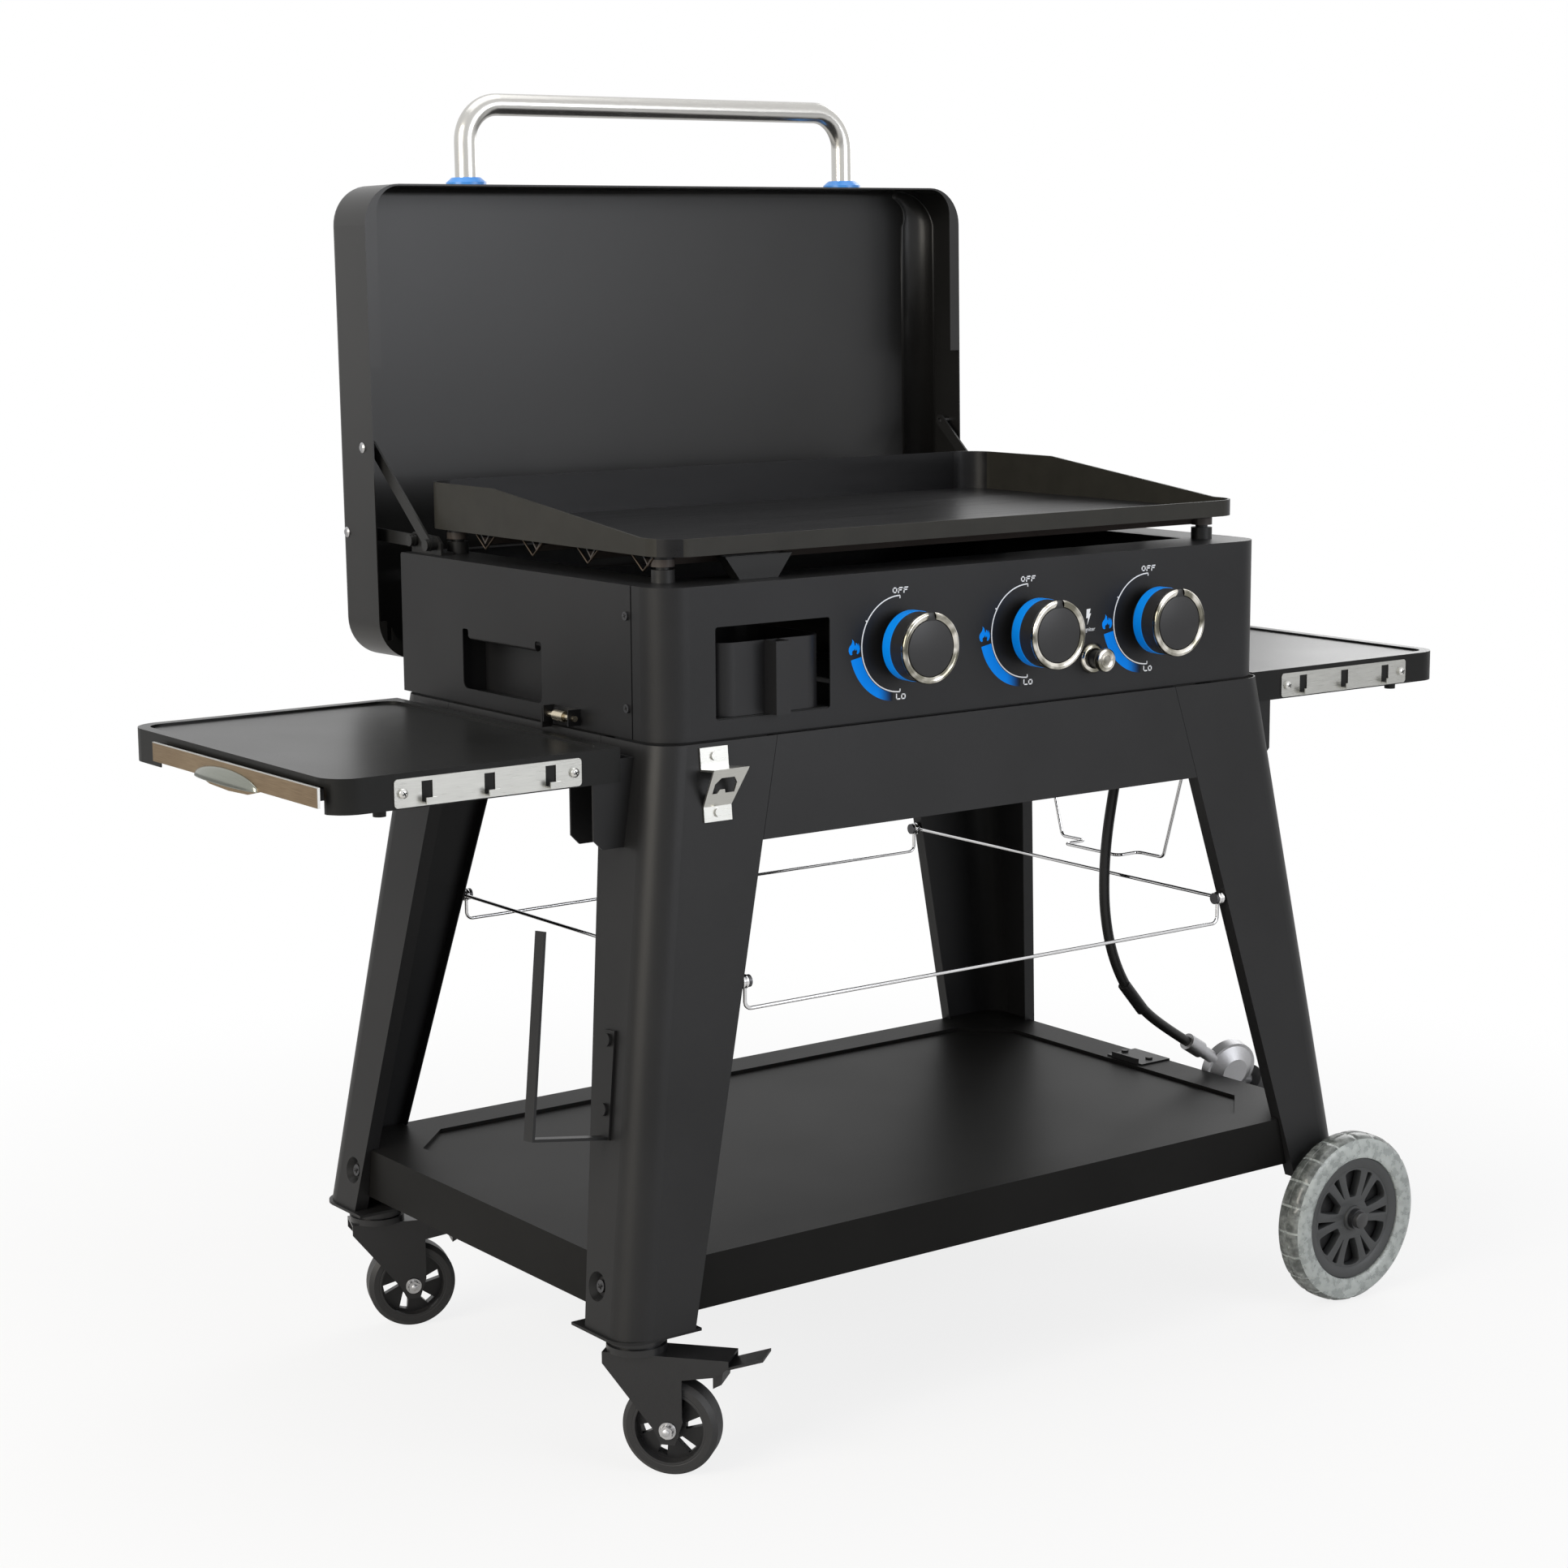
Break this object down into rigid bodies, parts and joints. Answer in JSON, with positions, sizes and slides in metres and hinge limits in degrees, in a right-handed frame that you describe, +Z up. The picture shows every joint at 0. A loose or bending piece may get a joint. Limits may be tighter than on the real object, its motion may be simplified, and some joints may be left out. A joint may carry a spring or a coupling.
{
  "type": "outdoor gas griddle station",
  "caption": "Outdoor gas griddle station: a flat cooking plate with burner knobs and a link-hung lid, on a rolling cart with folding side shelves, a drawer and a lower shelf",
  "frame": {"origin": "middle of the station's footprint on the ground", "axes": "X across from the drawer side to the gas side, Y from front to back, Z up"},
  "size_m": [1.535, 0.7654, 1.4003],
  "materials": {
    "black_sheet": "black textured powder coat",
    "black_smooth": "smooth black enamel",
    "griddle_steel": "dark matt cooking surface",
    "stainless": "brushed stainless steel",
    "zinc": "zinc plate",
    "chrome": "bright chrome plate",
    "knob_plastic": "black moulded plastic",
    "blue_plastic": "bright blue moulded plastic",
    "hub_plastic": "dark grey moulded plastic",
    "tyre_clear": "cloudy clear moulded tread",
    "hose_rubber": "black smooth rubber",
    "aluminium_cast": "cast aluminium"
  },
  "bodies": {
    "station": {"front_legs": "black_sheet", "rear_legs": "black_sheet", "long_aprons": "black_sheet", "side_aprons": "black_sheet", "lower_shelf": "black_sheet", "foot_fittings": "black_sheet", "brace_wires": "chrome", "fold_brackets": "black_sheet", "control_panel": "black_sheet", "side_panels": "black_sheet", "hand_cups": "black_sheet", "rear_panel": "black_sheet", "firebox_floor": "black_sheet", "burners": "stainless", "gas_manifold": "aluminium_cast", "igniter_bezel": "chrome", "griddle_plate": "griddle_steel", "grease_chute": "stainless", "inner_supports": "black_sheet", "head_fittings": "black_sheet", "latch_brackets": "black_sheet", "bottle_opener": "stainless", "towel_bar": "black_sheet", "tank_stop": "black_sheet", "tank_hanger": "chrome", "gas_hose": "hose_rubber", "hose_sleeve": "hose_rubber", "regulator": "aluminium_cast", "screws": "zinc"},
    "caster_front": {"caster_fork_front": "black_smooth"},
    "caster_rear": {"caster_fork_rear": "black_smooth"},
    "caster_wheel_front": {"caster_wheel_front": "hub_plastic"},
    "caster_wheel_rear": {"caster_wheel_rear": "hub_plastic"},
    "brake_pedal_front": {"brake_pedal_front": "black_smooth"},
    "brake_pedal_rear": {"brake_pedal_rear": "black_smooth"},
    "wheel_front": {"wheel_hub_front": "hub_plastic", "wheel_tyre_front": "tyre_clear"},
    "wheel_rear": {"wheel_hub_rear": "hub_plastic", "wheel_tyre_rear": "tyre_clear"},
    "right_shelf": {"side_shelf_right": "black_sheet", "hook_strip_right": "stainless"},
    "left_shelf": {"side_shelf_left": "black_sheet", "hook_strip_left": "stainless"},
    "drawer": {"drawer": "black_sheet"},
    "stem_1": {"valve_stem_1": "zinc"},
    "stem_2": {"valve_stem_2": "zinc"},
    "stem_3": {"valve_stem_3": "zinc"},
    "knob_1": {"knob_1": "knob_plastic"},
    "knob_2": {"knob_2": "knob_plastic"},
    "knob_3": {"knob_3": "knob_plastic"},
    "igniter": {"igniter_button": "knob_plastic"},
    "cup": {"grease_cup": "black_smooth"},
    "short_links": {"short_links": "black_sheet"},
    "lid": {"lid_shell": "black_smooth", "lid_handle": "stainless", "lid_fittings": "blue_plastic"},
    "long_links": {"long_links": "black_sheet"},
    "latch_right": {"latch_pin_right": "zinc"},
    "latch_left": {"latch_pin_left": "zinc"},
    "coupling": {"coupling_nut": "knob_plastic"}
  },
  "joints": [
    {"name": "caster_front_swivel", "type": "hinge", "parent": "station", "child": "caster_front", "pos_m": [-0.4605, -0.26746, 0.14], "axis": [0, 0, 1], "continuous": true},
    {"name": "caster_front_roll", "type": "hinge", "parent": "caster_front", "child": "caster_wheel_front", "pos_m": [-0.43672, -0.2958, 0.05], "axis": [0.766, 0.6428, 0], "continuous": true},
    {"name": "brake_front_press", "type": "hinge", "parent": "caster_front", "child": "brake_pedal_front", "pos_m": [-0.4245, -0.31036, 0.116], "axis": [0.766, 0.6428, 0], "range_deg": [0, 12]},
    {"name": "caster_rear_swivel", "type": "hinge", "parent": "station", "child": "caster_rear", "pos_m": [-0.4605, 0.26854, 0.14], "axis": [0, 0, 1], "continuous": true},
    {"name": "caster_rear_roll", "type": "hinge", "parent": "caster_rear", "child": "caster_wheel_rear", "pos_m": [-0.42573, 0.25588, 0.05], "axis": [0.342, 0.9397, 0], "continuous": true},
    {"name": "brake_rear_press", "type": "hinge", "parent": "caster_rear", "child": "brake_pedal_rear", "pos_m": [-0.40788, 0.24939, 0.116], "axis": [0.342, 0.9397, 0], "range_deg": [0, 12]},
    {"name": "wheel_front_roll", "type": "hinge", "parent": "station", "child": "wheel_front", "pos_m": [0.4915, -0.33946, 0.1], "axis": [0, 1, 0], "continuous": true},
    {"name": "wheel_rear_roll", "type": "hinge", "parent": "station", "child": "wheel_rear", "pos_m": [0.4915, 0.34054, 0.1], "axis": [0, 1, 0], "continuous": true},
    {"name": "right_shelf_fold", "type": "hinge", "parent": "station", "child": "right_shelf", "pos_m": [0.4655, 0.00854, 0.716], "axis": [0, 1, 0], "range_deg": [0, 83]},
    {"name": "left_shelf_fold", "type": "hinge", "parent": "station", "child": "left_shelf", "pos_m": [-0.4565, 0.00854, 0.716], "axis": [0, -1, 0], "range_deg": [0, 56]},
    {"name": "drawer_slide", "type": "slide", "parent": "left_shelf", "child": "drawer", "axis": [-1, 0, 0], "range_m": [0, 0.2]},
    {"name": "knob_1_push", "type": "slide", "parent": "station", "child": "stem_1", "axis": [0, 1, 0], "range_m": [0, 0.003], "stiffness_N_per_m": 800},
    {"name": "knob_1_turn", "type": "hinge", "parent": "stem_1", "child": "knob_1", "pos_m": [-0.108, -0.25546, 0.8155], "axis": [0, -1, 0], "range_deg": [0, 180]},
    {"name": "knob_2_push", "type": "slide", "parent": "station", "child": "stem_2", "axis": [0, 1, 0], "range_m": [0, 0.003], "stiffness_N_per_m": 800},
    {"name": "knob_2_turn", "type": "hinge", "parent": "stem_2", "child": "knob_2", "pos_m": [0.0675, -0.25546, 0.8155], "axis": [0, -1, 0], "range_deg": [0, 180]},
    {"name": "knob_3_push", "type": "slide", "parent": "station", "child": "stem_3", "axis": [0, 1, 0], "range_m": [0, 0.003], "stiffness_N_per_m": 800},
    {"name": "knob_3_turn", "type": "hinge", "parent": "stem_3", "child": "knob_3", "pos_m": [0.243, -0.25546, 0.8155], "axis": [0, -1, 0], "range_deg": [0, 180]},
    {"name": "igniter_push", "type": "slide", "parent": "station", "child": "igniter", "axis": [0, 1, 0], "range_m": [0, 0.005], "stiffness_N_per_m": 600},
    {"name": "cup_slide", "type": "slide", "parent": "station", "child": "cup", "axis": [0, -1, 0], "range_m": [0, 0.1]},
    {"name": "short_link_swing", "type": "hinge", "parent": "station", "child": "short_links", "pos_m": [0.0045, 0.24584, 0.9063], "axis": [1, 0, 0], "range_deg": [0, 150.07]},
    {"name": "lid_swing", "type": "hinge", "parent": "short_links", "child": "lid", "pos_m": [0.0045, 0.36294, 0.9086], "axis": [1, 0, 0], "range_deg": [-59.2, 0]},
    {"name": "long_link_swing", "type": "hinge", "parent": "station", "child": "long_links", "pos_m": [0.0045, 0.20244, 0.9042], "axis": [1, 0, 0], "range_deg": [0, 133.8]},
    {"name": "latch_right_pull", "type": "slide", "parent": "station", "child": "latch_right", "axis": [0, -1, 0], "range_m": [0, 0.012], "stiffness_N_per_m": 500},
    {"name": "latch_left_pull", "type": "slide", "parent": "station", "child": "latch_left", "axis": [0, -1, 0], "range_m": [0, 0.012], "stiffness_N_per_m": 500},
    {"name": "coupling_turn", "type": "hinge", "parent": "station", "child": "coupling", "pos_m": [0.56731, -0.09946, 0.20054], "axis": [0.8493, 0, -0.5279], "continuous": true}
  ],
  "couplings": [
    {"joint": "lid_swing", "follows": "short_link_swing", "ratio": -0.3943},
    {"joint": "long_link_swing", "follows": "short_link_swing", "ratio": 0.8912}
  ]
}
